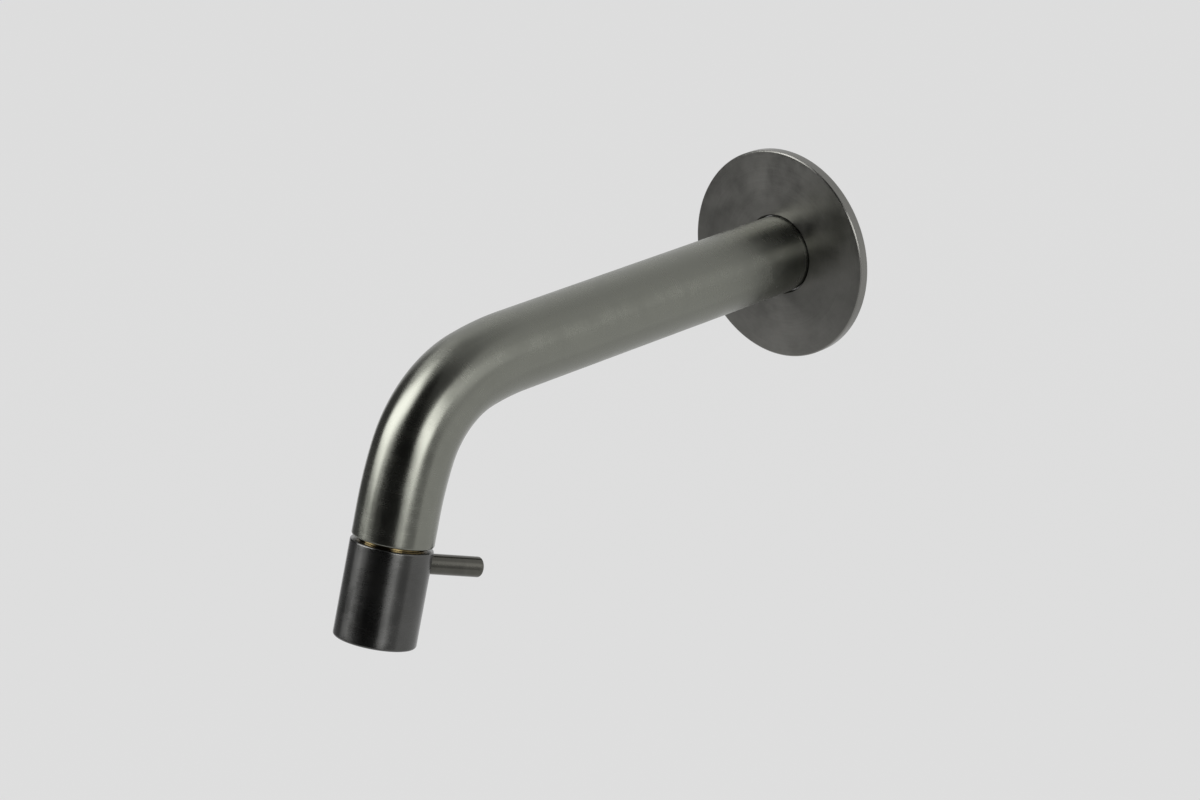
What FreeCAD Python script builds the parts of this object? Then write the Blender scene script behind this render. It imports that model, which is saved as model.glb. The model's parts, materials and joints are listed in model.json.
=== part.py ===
import FreeCAD, Part
import math
import os
from FreeCAD import Vector

# A wall spout for a basin. The piece at its end turns to open the water, and the water
# leaves through that same piece.
# Sizes are in millimetres. +Z is up, the wall's surface is the plane y = 0 and the spout
# points along -Y. The origin is the centre of the pipe thread where it leaves the wall.

# Spout tube
tube_diameter = 22.0
tube_wall = 1.5
straight_length = 113.6
bend_angle = 75.0
bend_radius = 30.0
lead_angle = 10.0
lead_radius = 90.0
drop_length = 8.0
tube_end_round = 0.6

# Rosette, its sealing ring and its gasket
rosette_diameter = 60.0
rosette_thickness = 3.0
rosette_bevel = 0.3
rosette_bore_bevel = 0.2
rosette_ring_section = 1.3
gasket_thickness = 1.0
gasket_width = 5.0
gasket_rim = 3.0

# Connection in the wall: G 1/2 pipe thread, spigot and lock screw
thread_diameter = 20.955
thread_length = 14.0
thread_chamfer = 1.0
collar_thickness = 1.2
collar_step = 0.2
nipple_bore = 9.8
nipple_key_flats = 10.0
nipple_key_depth = 8.0
sleeve_wall = 1.45
sleeve_end_land = 2.0
lock_position = 5.0
lock_screw_diameter = 5.0
lock_point_diameter = 3.4
lock_groove_depth = 0.95
lock_screw_recess = 0.4
lock_key_flats = 2.5
lock_key_depth = 1.6
spigot_ring_section = 1.3
ring_groove_play = 0.4
groove_land = 1.2
spigot_tip_land = 3.4
spigot_chamfer = 0.8

# Insert in the spout's end and the seal between it and the valve
insert_wall = 1.45
insert_end_land = 0.4
insert_ledge = 1.2
insert_ledge_width = 1.7
housing_seal_thickness = 0.9
housing_seal_width = 1.5

# Valve housing and what turns inside it
housing_wall = 1.6
housing_floor = 0.8
seat_seal_thickness = 0.9
seat_seal_width = 1.8
entry_land = 0.5
disc_thickness = 2.4
port_width = 80.0
port_hub = 1.6
port_rim = 1.6
ear_width = 2.4
ear_length = 0.7
dog_width = 2.4
dog_length = 0.9
dog_height = 1.1
turn_angle = 90.0
stop_width = 30.0
stop_length = 0.8
stop_play = 1.0
spindle_head = 2.0
spindle_pocket = 1.1
spindle_shoulder = 1.8
spindle_wall = 2.2
spindle_ring_section = 1.0
spindle_ring_land = 0.9
thrust_washer_thickness = 0.5
gland_thread_length = 2.8
gland_flange = 1.0
gland_flange_rim = 0.3
gland_slot_count = 4
gland_slot_width = 2.0

# Turning end piece, its lever and the nut that holds it
knob_gap = 0.9
knob_step = 0.1
knob_wall = 2.2
knob_top_round = 0.5
knob_end_round = 0.7
knob_web = 2.5
drive_step = 0.6
drive_flat = 0.7
knob_nut_wall = 2.1
knob_nut_thickness = 2.4
spindle_end_land = 0.3
glide_ring_width = 1.9
glide_ring_depth = 0.5
glide_ring_slit = 0.5
glide_ring_land = 1.0
lever_diameter = 5.5
lever_reach = 27.3
lever_height = 4.8
lever_angle = -70.5
lever_end_round = 0.85
lever_seat_depth = 0.6
lever_stud_diameter = 4.0

# Aerator screwed into the end piece
aerator_wall = 1.9
aerator_ledge_width = 1.2
aerator_seal_thickness = 1.2
aerator_seal_width = 2.4
aerator_length = 6.4
aerator_shell = 1.25
aerator_lip = 1.2
aerator_lip_width = 1.2
aerator_recess = 0.6
aerator_slot_count = 4
aerator_slot_width = 1.6
aerator_slot_depth = 0.7
regulator_thickness = 1.25
regulator_hole_count = 12
regulator_hole = 0.9
insert_jet_count = 16
insert_jet = 1.1
insert_rib_count = 6
insert_rib_width = 0.7
insert_floor = 1.2
screen_thickness = 0.4
cell_pitch = 1.7
cell_flats = 1.4

# Clearances
braze_gap = 0.05
thread_gap = 0.05
slip_gap = 0.05
seal_gap = 0.05
stack_gap = 0.05
disc_gap = 0.02
running_gap = 0.05
rosette_gap = 0.35
knob_clearance = 0.3
web_clearance = 0.3

# Radii of the spout and the wall connection
tube_radius = tube_diameter / 2
tube_bore = tube_radius - tube_wall
sleeve_radius = tube_bore - braze_gap
sleeve_bore = sleeve_radius - sleeve_wall
spigot_radius = sleeve_bore - slip_gap
thread_radius = thread_diameter / 2
collar_radius = tube_radius - collar_step
rosette_bore = tube_radius + rosette_gap
rosette_radius = rosette_diameter / 2

# Places along the spigot, measured out of the wall
lock_hole_radius = lock_screw_diameter / 2
lock_point_radius = lock_point_diameter / 2
lock_groove_half = lock_point_radius + slip_gap
ring_groove_width = spigot_ring_section + ring_groove_play
first_groove = lock_position + lock_groove_half + groove_land
second_groove = first_groove + ring_groove_width + groove_land
spigot_length = second_groove + ring_groove_width + spigot_tip_land
sleeve_length = spigot_length + sleeve_end_land

# Radii of the insert, the valve and the end piece
insert_radius = tube_bore - braze_gap
insert_bore = insert_radius - insert_wall
housing_spigot = insert_bore - thread_gap
knob_radius = tube_radius + knob_step
knob_bore = knob_radius - knob_wall
neck_radius = knob_bore - knob_clearance
chamber_radius = neck_radius - housing_wall
disc_radius = chamber_radius - running_gap
entry_radius = disc_radius - seat_seal_width - entry_land
spindle_head_radius = chamber_radius - 2 * running_gap
spindle_radius = chamber_radius - spindle_shoulder
spindle_bore = spindle_radius - spindle_wall
gland_bore = spindle_radius + running_gap
gland_radius = chamber_radius - thread_gap
drive_radius = spindle_radius - drive_step
stud_radius = drive_radius - drive_flat
aerator_bore = knob_radius - aerator_wall
aerator_radius = aerator_bore - thread_gap
aerator_inside = aerator_radius - aerator_shell
nut_room = aerator_bore - aerator_ledge_width

# Places along the outlet, measured from the tube's end in the direction of flow
insert_top = insert_end_land - drop_length
insert_seat = insert_top + insert_ledge
housing_top = insert_seat + housing_seal_thickness + 2 * seal_gap
seat_seal_top = housing_floor + seal_gap
fixed_disc_top = seat_seal_top + seat_seal_thickness + seal_gap
turning_disc_top = fixed_disc_top + disc_thickness + disc_gap
spindle_top = turning_disc_top + disc_thickness + stack_gap
washer_top = spindle_top + spindle_head + stack_gap
gland_top = washer_top + thrust_washer_thickness + stack_gap
housing_end = gland_top + gland_thread_length
gland_end = housing_end + gland_flange
web_top = gland_end + web_clearance
web_end = web_top + knob_web
nut_top = web_end + stack_gap
nut_end = nut_top + knob_nut_thickness
spindle_end = nut_end + spindle_end_land
aerator_ledge = spindle_end + spindle_end_land
aerator_seal_top = aerator_ledge + seal_gap
aerator_top = aerator_seal_top + aerator_seal_thickness + seal_gap
aerator_end = aerator_top + aerator_length
knob_end = aerator_end + aerator_recess
screen_top = aerator_end - aerator_lip - stack_gap - screen_thickness
lever_place = knob_gap + lever_height
lever_seat = knob_radius - lever_seat_depth
glide_ring_top = housing_end - glide_ring_land - glide_ring_width


def turned(*corners):
    """Solid turned about the local Z axis from its (radius, z) corners."""
    points = [Vector(radius, 0, z) for radius, z in corners]
    outline = Part.makePolygon(points + points[:1])
    return Part.Face(outline).revolve(Vector(0, 0, 0), Vector(0, 0, 1), 360)


def ring(inner, outer, low, high):
    """Plain ring about the local Z axis."""
    return turned((inner, low), (outer, low), (outer, high), (inner, high))


def disc(radius, low, high):
    """Plain disc about the local Z axis."""
    return Part.makeCylinder(radius, high - low, Vector(0, 0, low))


def squeezed_ring(inner, section, middle):
    """Sealing ring with the flats that its groove and the wall across from it press on it."""
    outer = inner + section
    half = section / 2
    flat = section / 5
    centre = inner + half
    return turned(
        (inner, middle - flat),
        (centre - flat, middle - half),
        (centre + flat, middle - half),
        (outer, middle - flat),
        (outer, middle + flat),
        (centre + flat, middle + half),
        (centre - flat, middle + half),
        (inner, middle + flat),
    )


def sector(inner, outer, low, high, middle, width):
    """Part of a ring, width degrees wide, with its middle at an angle from local +X."""
    corners = [(inner, low), (outer, low), (outer, high), (inner, high), (inner, low)]
    face = Part.Face(Part.makePolygon([Vector(radius, 0, z) for radius, z in corners]))
    face.rotate(Vector(0, 0, 0), Vector(0, 0, 1), middle - width / 2)
    return face.revolve(Vector(0, 0, 0), Vector(0, 0, 1), width)


def block(inner, outer, width, low, high, angle):
    """Straight-sided block that reaches from one radius to another at an angle."""
    solid = Part.makeBox(outer - inner, width, high - low, Vector(inner, -width / 2, low))
    solid.rotate(Vector(0, 0, 0), Vector(0, 0, 1), angle)
    return solid


def hexagon(flats, low, high, x=0.0, y=0.0):
    """Six-sided prism along the local Z axis, given across its flats."""
    corner = flats / math.sqrt(3)
    turns = [math.radians(60 * side) for side in range(7)]
    points = [Vector(x + corner * math.cos(a), y + corner * math.sin(a), low) for a in turns]
    return Part.Face(Part.makePolygon(points)).extrude(Vector(0, 0, high - low))


def holes_on_circle(count, radius, pitch_radius, low, high):
    """Round holes spaced evenly on a circle, as one tool for cutting."""
    turns = [2 * math.pi * number / count for number in range(count)]
    places = [Vector(pitch_radius * math.cos(a), pitch_radius * math.sin(a), low) for a in turns]
    return Part.makeCompound([Part.makeCylinder(radius, high - low, place) for place in places])


def circle_edges(shape, radius, centre):
    """Whole circular edges of a given radius about a given centre."""
    found = []
    for edge in shape.Edges:
        curve = edge.Curve
        if not isinstance(curve, Part.Circle):
            continue
        if abs(curve.Radius - radius) < 0.001 and curve.Center.distanceToPoint(centre) < 0.001:
            found.append(edge)
    return found


def flow_placement(origin, flow):
    """Placement that sets local +Z along the flow and keeps local +X along +X."""
    side = flow.cross(Vector(1, 0, 0))
    matrix = FreeCAD.Matrix(
        1, side.x, flow.x, origin.x,
        0, side.y, flow.y, origin.y,
        0, side.z, flow.z, origin.z,
    )
    return FreeCAD.Placement(matrix)


def heading(angle):
    """Direction of flow once the tube has turned down by an angle in degrees."""
    turn = math.radians(angle)
    return Vector(0, -math.cos(turn), -math.sin(turn))


def inward(angle):
    """Direction from the centre line to the centre of the bend at that heading."""
    turn = math.radians(angle)
    return Vector(0, math.sin(turn), -math.cos(turn))


def spout_path():
    """Centre line of the tube: a straight run, a bend that eases in and out, a short drop."""
    point = heading(0) * straight_length
    edges = [Part.LineSegment(tube_start, point).toShape()]
    turned_so_far = 0.0
    middle_angle = bend_angle - 2 * lead_angle
    arcs = ((lead_radius, lead_angle), (bend_radius, middle_angle), (lead_radius, lead_angle))
    for radius, angle in arcs:
        centre = point + inward(turned_so_far) * radius
        halfway = centre - inward(turned_so_far + angle / 2) * radius
        turned_so_far += angle
        after = centre - inward(turned_so_far) * radius
        edges.append(Part.Arc(point, halfway, after).toShape())
        point = after
    end = point + heading(turned_so_far) * drop_length
    edges.append(Part.LineSegment(point, end).toShape())
    return Part.Wire(edges), end


tube_start = heading(0) * collar_thickness
path, outlet_point = spout_path()
at_wall = flow_placement(Vector(0, 0, 0), heading(0))
at_outlet = flow_placement(outlet_point, heading(bend_angle))


def placed(shape, placement):
    """Shape moved from the frame that it was modelled in to its place on the tap."""
    moved = shape.copy()
    moved.Placement = placement.multiply(moved.Placement)
    return moved


def lock_tool(radius, inner, outer):
    """Round bar across the tube's underside, where the lock screw goes in."""
    start = Vector(0, -inner, lock_position)
    return Part.makeCylinder(radius, outer - inner, start, Vector(0, -1, 0))


def along_path(radius):
    """Round bar that follows the tube's centre line."""
    start = Part.Circle(tube_start, heading(0), radius).toShape()
    return path.makePipe(Part.Face(Part.Wire(start)))


def spout_tube():
    """Bent tube with a rounded end and the lock screw's hole in its underside."""
    tube = along_path(tube_radius).cut(along_path(tube_bore))
    rim = circle_edges(tube, tube_radius, outlet_point)
    tube = tube.makeFillet(min(tube_end_round, tube_wall / 2), rim)
    return tube.cut(placed(lock_tool(lock_hole_radius, 0, 2 * tube_radius), at_wall))


def inlet_sleeve():
    """Brass sleeve brazed into the tube, bored for the spigot and tapped for the lock screw."""
    sleeve = ring(sleeve_bore, sleeve_radius, collar_thickness, sleeve_length)
    return sleeve.cut(lock_tool(lock_hole_radius, 0, 2 * tube_radius))


def spigot_groove(start):
    """Groove in the spigot for one sealing ring."""
    floor = sleeve_bore - spigot_ring_section - 2 * seal_gap
    return ring(floor, thread_radius, start, start + ring_groove_width)


def wall_nipple():
    """Pipe thread and spigot in one piece, bored through, with a key socket in its tip."""
    body = turned(
        (0, -thread_length),
        (thread_radius - thread_chamfer, -thread_length),
        (thread_radius, thread_chamfer - thread_length),
        (thread_radius, 0),
        (collar_radius, 0),
        (collar_radius, collar_thickness),
        (spigot_radius, collar_thickness),
        (spigot_radius, spigot_length - spigot_chamfer),
        (spigot_radius - spigot_chamfer, spigot_length),
        (0, spigot_length),
    )
    lock_floor = spigot_radius - lock_groove_depth
    lock_low = lock_position - lock_groove_half
    lock_groove = ring(lock_floor, thread_radius, lock_low, lock_position + lock_groove_half)
    water = disc(nipple_bore / 2, -thread_length, spigot_length)
    socket = hexagon(nipple_key_flats, spigot_length - nipple_key_depth, spigot_length)
    ring_grooves = [spigot_groove(first_groove), spigot_groove(second_groove)]
    return body.cut([lock_groove, water, socket] + ring_grooves)


def spigot_ring(start):
    """Sealing ring in one of the spigot's grooves."""
    inner = sleeve_bore - seal_gap - spigot_ring_section
    return squeezed_ring(inner, spigot_ring_section, start + ring_groove_width / 2)


def lock_screw():
    """Headless screw with a key socket, whose point drops into the spigot's groove."""
    head = tube_radius - lock_screw_recess
    point_end = spigot_radius - lock_groove_depth + stack_gap
    shank = lock_tool(lock_hole_radius - thread_gap, sleeve_bore + stack_gap, head)
    point = lock_tool(lock_point_radius, point_end, head)
    socket = hexagon(lock_key_flats, 0, lock_key_depth)
    socket.rotate(Vector(0, 0, 0), Vector(1, 0, 0), -90)
    socket.translate(Vector(0, -head, lock_position))
    return shank.fuse(point).removeSplitter().cut(socket)


def wall_rosette():
    """Round cover plate with a ring groove in its bore and a gasket groove in its back."""
    plate = turned(
        (rosette_bore, 0),
        (rosette_radius, 0),
        (rosette_radius, rosette_thickness - rosette_bevel),
        (rosette_radius - rosette_bevel, rosette_thickness),
        (rosette_bore + rosette_bore_bevel, rosette_thickness),
        (rosette_bore, rosette_thickness - rosette_bore_bevel),
    )
    half = rosette_ring_section / 2 + seal_gap
    middle = rosette_thickness / 2
    groove_floor = tube_radius + rosette_ring_section + 2 * seal_gap
    ring_groove = ring(tube_radius, groove_floor, middle - half, middle + half)
    outer = rosette_radius - gasket_rim
    gasket_groove = ring(outer - gasket_width, outer, 0, gasket_thickness + seal_gap)
    return plate.cut([ring_groove, gasket_groove])


def rosette_ring():
    """Sealing ring that holds the rosette on the tube by friction."""
    return squeezed_ring(tube_radius + seal_gap, rosette_ring_section, rosette_thickness / 2)


def rosette_gasket():
    """Flat gasket in the rosette's back, level with it."""
    outer = rosette_radius - gasket_rim - seal_gap
    return ring(outer - gasket_width + 2 * seal_gap, outer, 0, gasket_thickness)


def outlet_insert():
    """Threaded brass insert brazed into the tube's end, with a ledge for the seal."""
    ledge_bore = insert_bore - insert_ledge_width
    return turned(
        (ledge_bore, insert_top),
        (insert_radius, insert_top),
        (insert_radius, 0),
        (insert_bore, 0),
        (insert_bore, insert_seat),
        (ledge_bore, insert_seat),
    )


def housing_seal():
    """Flat seal between the insert's ledge and the valve housing."""
    outer = insert_bore - seal_gap
    low = insert_seat + seal_gap
    return ring(outer - housing_seal_width, outer, low, low + housing_seal_thickness)


def valve_housing():
    """Housing screwed into the insert, with a chamber for the discs and a stop for the turn."""
    body = turned(
        (entry_radius, housing_top),
        (housing_spigot, housing_top),
        (housing_spigot, 0),
        (neck_radius, 0),
        (neck_radius, housing_end),
        (chamber_radius, housing_end),
        (chamber_radius, housing_floor),
        (entry_radius, housing_floor),
    )
    ear_reach = disc_radius + ear_length + running_gap
    slot_width = ear_width + 2 * slip_gap
    ear_slots = [block(0, ear_reach, slot_width, fixed_disc_top, housing_end, turn) for turn in (90, 270)]
    stop_room = sector(
        disc_radius,
        spindle_head_radius + stop_length + 2 * running_gap,
        spindle_top - stack_gap,
        housing_end,
        0,
        turn_angle + stop_width + 2 * stop_play,
    )
    ring_floor = neck_radius - glide_ring_depth
    ring_room = ring(ring_floor, knob_bore, glide_ring_top, glide_ring_top + glide_ring_width)
    return body.cut(ear_slots + [stop_room, ring_room])


def seat_seal():
    """Rubber seal that presses the fixed disc against the turning one."""
    low = seat_seal_top
    return ring(disc_radius - seat_seal_width, disc_radius, low, low + seat_seal_thickness)


def ported_disc(low, middle):
    """Ceramic disc with two opposite ports, the first with its middle at an angle."""
    blank = disc(disc_radius, low, low + disc_thickness)
    ports = [
        sector(port_hub, disc_radius - port_rim, low, low + disc_thickness, angle, port_width)
        for angle in (middle, middle + 180)
    ]
    return blank.cut(ports)


def fixed_disc():
    """Disc that two ears keep from turning in the housing."""
    low = fixed_disc_top
    high = low + disc_thickness
    ears = [block(0, disc_radius + ear_length, ear_width, low, high, turn) for turn in (90, 270)]
    rim = disc(disc_radius - port_rim, low, high)
    return ported_disc(low, 0).fuse([ear.cut(rim) for ear in ears]).removeSplitter()


def turning_disc():
    """Disc with notches in its lower face, where the spindle's dogs take hold."""
    low = turning_disc_top
    high = low + disc_thickness
    notch_floor = disc_radius - dog_length - slip_gap
    notch_width = dog_width + 2 * slip_gap
    notch_top = high - dog_height
    notches = [block(notch_floor, chamber_radius, notch_width, notch_top, high, turn) for turn in (0, 180)]
    return ported_disc(low, 90).cut(notches)


def double_flat_bar(radius, flat, low, high):
    """Round bar with two opposite flats, each cut to a given depth."""
    half = radius - flat
    flats = Part.makeBox(4 * radius, 2 * half, high - low, Vector(-2 * radius, -half, low))
    return disc(radius, low, high).common(flats)


def spindle():
    """Hollow spindle: dogs and a stop on its head, a ring groove, flats and a thread."""
    head = turned(
        (spindle_radius, spindle_top),
        (spindle_head_radius, spindle_top),
        (spindle_head_radius, spindle_top + spindle_head),
        (spindle_radius, spindle_top + spindle_head),
    )
    dog_top = spindle_top - dog_height
    dog_blank = disc(spindle_head_radius, dog_top, spindle_top)
    dog_root = disc_radius - dog_length
    dogs = [
        block(dog_root, disc_radius, dog_width, dog_top, spindle_top, turn).common(dog_blank)
        for turn in (0, 180)
    ]
    stop_reach = spindle_head_radius + stop_length
    head_end = spindle_top + spindle_head
    stop = sector(spindle_radius, stop_reach, spindle_top, head_end, -turn_angle / 2, stop_width)
    shaft = disc(spindle_radius, spindle_top, web_top)
    drive = double_flat_bar(drive_radius, drive_flat, web_top, web_end)
    stud = disc(stud_radius, web_end, spindle_end)
    solid = shaft.fuse([head, stop, drive, stud] + dogs).removeSplitter()
    pocket = disc(disc_radius - port_rim, spindle_top, spindle_top + spindle_pocket)
    water = disc(spindle_bore, spindle_top, spindle_end)
    groove_floor = gland_bore - spindle_ring_section - 2 * seal_gap
    groove_low = gland_top + spindle_ring_land
    groove_high = groove_low + spindle_ring_section + 2 * seal_gap
    groove = ring(groove_floor, spindle_radius + running_gap, groove_low, groove_high)
    return solid.cut([pocket, water, groove])


def spindle_ring():
    """Sealing ring between the spindle and the gland nut."""
    inner = gland_bore - seal_gap - spindle_ring_section
    middle = gland_top + spindle_ring_land + seal_gap + spindle_ring_section / 2
    return squeezed_ring(inner, spindle_ring_section, middle)


def thrust_washer():
    """Slippery washer under the spindle's head."""
    return ring(gland_bore, gland_radius, washer_top, washer_top + thrust_washer_thickness)


def gland_nut():
    """Threaded nut that holds the spindle in, with a slotted flange for its key."""
    flange_radius = neck_radius - gland_flange_rim
    nut = turned(
        (gland_bore, gland_top),
        (gland_radius, gland_top),
        (gland_radius, housing_end),
        (flange_radius, housing_end),
        (flange_radius, gland_end),
        (gland_bore, gland_end),
    )
    turns = [360 * number / gland_slot_count for number in range(gland_slot_count)]
    slots = [
        block(chamber_radius, knob_bore, gland_slot_width, housing_end, gland_end, turn) for turn in turns
    ]
    return nut.cut(slots)


def glide_ring():
    """Slit plastic ring that steadies the end piece on the housing's neck."""
    inner = neck_radius - glide_ring_depth + slip_gap
    low = glide_ring_top + slip_gap
    high = glide_ring_top + glide_ring_width - slip_gap
    whole = ring(inner, knob_bore - running_gap, low, high)
    return whole.cut(block(0, knob_radius, glide_ring_slit, low, high, 180))


def radial_bar(radius, inner, outer):
    """Round bar that points the way the lever does, from one radius to another."""
    turn = math.radians(lever_angle)
    direction = Vector(math.cos(turn), math.sin(turn), 0)
    start = direction * inner + Vector(0, 0, lever_place)
    return Part.makeCylinder(radius, outer - inner, start, direction)


def knob_sleeve():
    """Round end piece, with a web that the spindle drives and a seat for the lever."""
    body = turned(
        (knob_bore, knob_gap),
        (knob_radius, knob_gap),
        (knob_radius, knob_end),
        (aerator_bore, knob_end),
        (aerator_bore, aerator_ledge),
        (nut_room, aerator_ledge),
        (nut_room, web_end),
        (0, web_end),
        (0, web_top),
        (knob_bore, web_top),
    )
    top_edge = circle_edges(body, knob_radius, Vector(0, 0, knob_gap))
    body = body.makeFillet(min(knob_top_round, knob_wall / 2), top_edge)
    end_edge = circle_edges(body, knob_radius, Vector(0, 0, knob_end))
    body = body.makeFillet(min(knob_end_round, aerator_wall / 2), end_edge)
    drive_hole = double_flat_bar(drive_radius + slip_gap, drive_flat, web_top, web_end)
    lever_spot = radial_bar(lever_diameter / 2 + slip_gap, lever_seat, knob_radius + lever_diameter)
    lever_hole = radial_bar(lever_stud_diameter / 2, neck_radius, knob_radius)
    return body.cut([drive_hole, lever_spot, lever_hole])


def lever_pin():
    """Round lever with a rounded tip and a threaded stud at its root."""
    radius = lever_diameter / 2
    bar = radial_bar(radius, lever_seat, lever_reach)
    turn = math.radians(lever_angle)
    tip = Vector(math.cos(turn), math.sin(turn), 0) * lever_reach + Vector(0, 0, lever_place)
    bar = bar.makeFillet(min(lever_end_round, radius / 2), circle_edges(bar, radius, tip))
    stud = radial_bar(lever_stud_diameter / 2 - thread_gap, knob_bore + slip_gap, lever_seat)
    return bar.fuse(stud).removeSplitter()


def knob_nut():
    """Nut under the web that clamps the end piece to the spindle."""
    hole = disc(stud_radius + thread_gap, nut_top, nut_end)
    return hexagon(2 * (stud_radius + knob_nut_wall), nut_top, nut_end).cut(hole)


def aerator_seal():
    """Flat rubber seal above the aerator."""
    outer = aerator_bore - seal_gap
    low = aerator_seal_top
    return ring(outer - aerator_seal_width, outer, low, low + aerator_seal_thickness)


def aerator_housing():
    """Threaded ring that holds the aerator's inner pieces, with slots for its key."""
    shell = turned(
        (aerator_inside, aerator_top),
        (aerator_radius, aerator_top),
        (aerator_radius, aerator_end),
        (aerator_inside - aerator_lip_width, aerator_end),
        (aerator_inside - aerator_lip_width, aerator_end - aerator_lip),
        (aerator_inside, aerator_end - aerator_lip),
    )
    slot_low = aerator_end - aerator_slot_depth
    turns = [360 * number / aerator_slot_count for number in range(aerator_slot_count)]
    slots = [block(0, knob_radius, aerator_slot_width, slot_low, aerator_end, turn) for turn in turns]
    return shell.cut(slots)


def flow_regulator():
    """Plastic plate with a ring of small holes that limits the flow."""
    radius = aerator_inside - slip_gap
    high = aerator_top + regulator_thickness
    plate = disc(radius, aerator_top, high)
    half = regulator_thickness / 2
    dish = ring(radius / 2, radius - half, aerator_top, aerator_top + half)
    pitch_radius = (radius / 2 + radius - half) / 2
    holes = holes_on_circle(regulator_hole_count, regulator_hole / 2, pitch_radius, aerator_top, high)
    return plate.cut([dish, holes])


def aerator_insert():
    """Plastic cup whose floor splits the water into jets, with ribs below it."""
    low = aerator_top + regulator_thickness + stack_gap
    high = screen_top - stack_gap
    radius = aerator_inside - slip_gap
    inner = radius - aerator_shell
    floor_end = low + insert_floor
    cup = ring(inner, radius, low, high)
    floor = disc(inner, low, floor_end)
    hub = disc(insert_rib_width, low, high)
    turns = [360 * number / insert_rib_count for number in range(insert_rib_count)]
    ribs = [block(0, inner + aerator_shell / 2, insert_rib_width, low, high, turn) for turn in turns]
    body = cup.fuse([floor, hub] + ribs).removeSplitter()
    jets = holes_on_circle(insert_jet_count, insert_jet / 2, inner - insert_jet, low, floor_end)
    return body.cut(jets)


def outlet_screen():
    """Thin plate of six-sided cells that straightens the water as it leaves."""
    radius = aerator_inside - slip_gap
    open_radius = aerator_inside - aerator_lip_width - cell_pitch / 2
    reach = int(open_radius / cell_pitch) + 1
    row_step = cell_pitch * math.sqrt(3) / 2
    cells = []
    for row in range(-reach - 1, reach + 2):
        for column in range(-reach - 1, reach + 2):
            x = row * row_step
            y = (column + (row % 2) / 2) * cell_pitch
            if math.hypot(x, y) <= open_radius:
                cells.append(hexagon(cell_flats, screen_top, screen_top + screen_thickness, x, y))
    return disc(radius, screen_top, screen_top + screen_thickness).cut(cells)


WALL_PARTS = {
    "inlet_sleeve": inlet_sleeve,
    "wall_nipple": wall_nipple,
    "lock_screw": lock_screw,
    "wall_rosette": wall_rosette,
    "rosette_ring": rosette_ring,
    "rosette_gasket": rosette_gasket,
}

OUTLET_PARTS = {
    "outlet_insert": outlet_insert,
    "housing_seal": housing_seal,
    "valve_housing": valve_housing,
    "seat_seal": seat_seal,
    "fixed_disc": fixed_disc,
    "turning_disc": turning_disc,
    "spindle": spindle,
    "spindle_ring": spindle_ring,
    "thrust_washer": thrust_washer,
    "gland_nut": gland_nut,
    "glide_ring": glide_ring,
    "knob_sleeve": knob_sleeve,
    "lever_pin": lever_pin,
    "knob_nut": knob_nut,
    "aerator_seal": aerator_seal,
    "flow_regulator": flow_regulator,
    "aerator_insert": aerator_insert,
    "outlet_screen": outlet_screen,
    "aerator_housing": aerator_housing,
}


def build_parts():
    """Every piece of the tap in its place, by name."""
    parts = {"spout_tube": spout_tube()}
    for name, make in WALL_PARTS.items():
        parts[name] = placed(make(), at_wall)
    for name, start in (("spigot_ring_back", first_groove), ("spigot_ring_front", second_groove)):
        parts[name] = placed(spigot_ring(start), at_wall)
    for name, make in OUTLET_PARTS.items():
        parts[name] = placed(make(), at_outlet)
    return parts


def main():
    os.makedirs("parts", exist_ok=True)
    for name, shape in build_parts().items():
        shape.exportStep(f"parts/{name}.step")


main()
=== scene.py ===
import json
from functools import partial
from math import ceil, cos, degrees, inf, pi, radians, sin, sqrt, tan

import bmesh
import bpy
import numpy as np
from bpy.types import Operator, PropertyGroup
from mathutils import Matrix, Vector

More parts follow.
